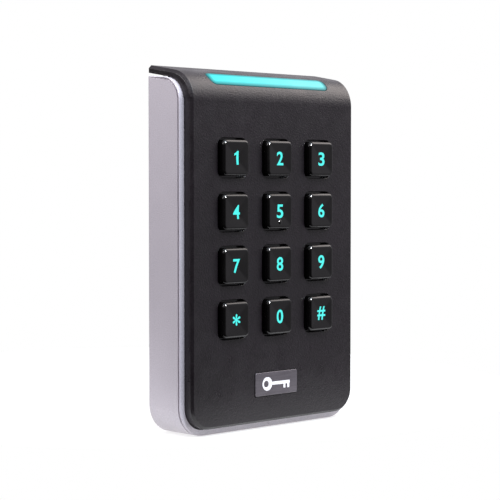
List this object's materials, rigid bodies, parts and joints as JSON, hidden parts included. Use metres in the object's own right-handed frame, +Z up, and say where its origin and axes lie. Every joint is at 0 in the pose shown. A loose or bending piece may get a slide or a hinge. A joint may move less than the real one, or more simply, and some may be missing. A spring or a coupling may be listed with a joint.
{
  "type": "keypad access reader",
  "caption": "Wall-mounted access card reader with a backlit push-button keypad, a status light bar under a hood, and plug-in terminals behind.",
  "frame": {"origin": "on the wall plane at the back, midway between the two screws of a single-gang wall box", "axes": "+X to the right as the user sees the keypad, +Y into the wall, +Z up; the keys face -Y"},
  "size_m": [0.08, 0.0214, 0.1212],
  "materials": {
    "housing_paint": "satin silver-grey with fine sparkle",
    "cover_plastic": "fine spark texture, matt black",
    "key_plastic": "polished black",
    "light_bar": "lit cyan diffuser",
    "clear_plastic": "clear moulded light guide",
    "badge_metal": "brushed grey",
    "plate_plastic": "moulded dark grey",
    "silicone": "translucent grey silicone",
    "seal_rubber": "black foam rubber",
    "circuit_board": "green solder mask",
    "chip_black": "moulded epoxy",
    "connector_plastic": "ivory nylon",
    "terminal_plastic": "green nylon",
    "former_plastic": "natural nylon",
    "copper": "enamelled copper wire",
    "gold_contact": "gold plated",
    "brass": "turned brass",
    "steel": "zinc plated",
    "tin": "tinned sheet",
    "led_resin": "clear resin over phosphor",
    "ceramic": "fired ceramic"
  },
  "bodies": {
    "reader": {"mounting_plate": "plate_plastic", "lug_insert": "brass", "security_screw": "steel", "rear_housing": "housing_paint", "front_cover": "cover_plastic", "cover_gasket": "seal_rubber", "cover_screws": "steel", "light_bar_lens": "light_bar", "light_guide": "clear_plastic", "light_bar_leds": "led_resin", "badge_plate": "badge_metal", "key_mat": "silicone", "key_contacts": "gold_contact", "key_leds": "led_resin", "keypad_board": "circuit_board", "board_socket": "chip_black", "board_header": "connector_plastic", "main_board": "circuit_board", "coil_former": "former_plastic", "antenna_coil": "copper", "radio_chip": "chip_black", "shield_can": "tin", "controller_chip": "chip_black", "voltage_regulator": "chip_black", "crystal": "tin", "capacitors": "tin", "chip_parts": "ceramic", "buzzer": "chip_black", "tamper_sensor": "chip_black", "terminal_header_left": "terminal_plastic", "terminal_header_right": "terminal_plastic", "terminal_plug_left": "terminal_plastic", "terminal_plug_right": "terminal_plastic", "terminal_pins": "tin", "terminal_screws": "steel"},
    "key_1": {"key_1": "key_plastic"},
    "key_2": {"key_2": "key_plastic"},
    "key_3": {"key_3": "key_plastic"},
    "key_4": {"key_4": "key_plastic"},
    "key_5": {"key_5": "key_plastic"},
    "key_6": {"key_6": "key_plastic"},
    "key_7": {"key_7": "key_plastic"},
    "key_8": {"key_8": "key_plastic"},
    "key_9": {"key_9": "key_plastic"},
    "key_star": {"key_star": "key_plastic"},
    "key_0": {"key_0": "key_plastic"},
    "key_hash": {"key_hash": "key_plastic"}
  },
  "joints": [
    {"name": "key_1_press", "type": "slide", "parent": "reader", "child": "key_1", "axis": [0, 1, 0], "range_m": [0, 0.0008], "stiffness_N_per_m": 600, "deforming": ["key_mat"]},
    {"name": "key_2_press", "type": "slide", "parent": "reader", "child": "key_2", "axis": [0, 1, 0], "range_m": [0, 0.0008], "stiffness_N_per_m": 600, "deforming": ["key_mat"]},
    {"name": "key_3_press", "type": "slide", "parent": "reader", "child": "key_3", "axis": [0, 1, 0], "range_m": [0, 0.0008], "stiffness_N_per_m": 600, "deforming": ["key_mat"]},
    {"name": "key_4_press", "type": "slide", "parent": "reader", "child": "key_4", "axis": [0, 1, 0], "range_m": [0, 0.0008], "stiffness_N_per_m": 600, "deforming": ["key_mat"]},
    {"name": "key_5_press", "type": "slide", "parent": "reader", "child": "key_5", "axis": [0, 1, 0], "range_m": [0, 0.0008], "stiffness_N_per_m": 600, "deforming": ["key_mat"]},
    {"name": "key_6_press", "type": "slide", "parent": "reader", "child": "key_6", "axis": [0, 1, 0], "range_m": [0, 0.0008], "stiffness_N_per_m": 600, "deforming": ["key_mat"]},
    {"name": "key_7_press", "type": "slide", "parent": "reader", "child": "key_7", "axis": [0, 1, 0], "range_m": [0, 0.0008], "stiffness_N_per_m": 600, "deforming": ["key_mat"]},
    {"name": "key_8_press", "type": "slide", "parent": "reader", "child": "key_8", "axis": [0, 1, 0], "range_m": [0, 0.0008], "stiffness_N_per_m": 600, "deforming": ["key_mat"]},
    {"name": "key_9_press", "type": "slide", "parent": "reader", "child": "key_9", "axis": [0, 1, 0], "range_m": [0, 0.0008], "stiffness_N_per_m": 600, "deforming": ["key_mat"]},
    {"name": "key_star_press", "type": "slide", "parent": "reader", "child": "key_star", "axis": [0, 1, 0], "range_m": [0, 0.0008], "stiffness_N_per_m": 600, "deforming": ["key_mat"]},
    {"name": "key_0_press", "type": "slide", "parent": "reader", "child": "key_0", "axis": [0, 1, 0], "range_m": [0, 0.0008], "stiffness_N_per_m": 600, "deforming": ["key_mat"]},
    {"name": "key_hash_press", "type": "slide", "parent": "reader", "child": "key_hash", "axis": [0, 1, 0], "range_m": [0, 0.0008], "stiffness_N_per_m": 600, "deforming": ["key_mat"]}
  ]
}
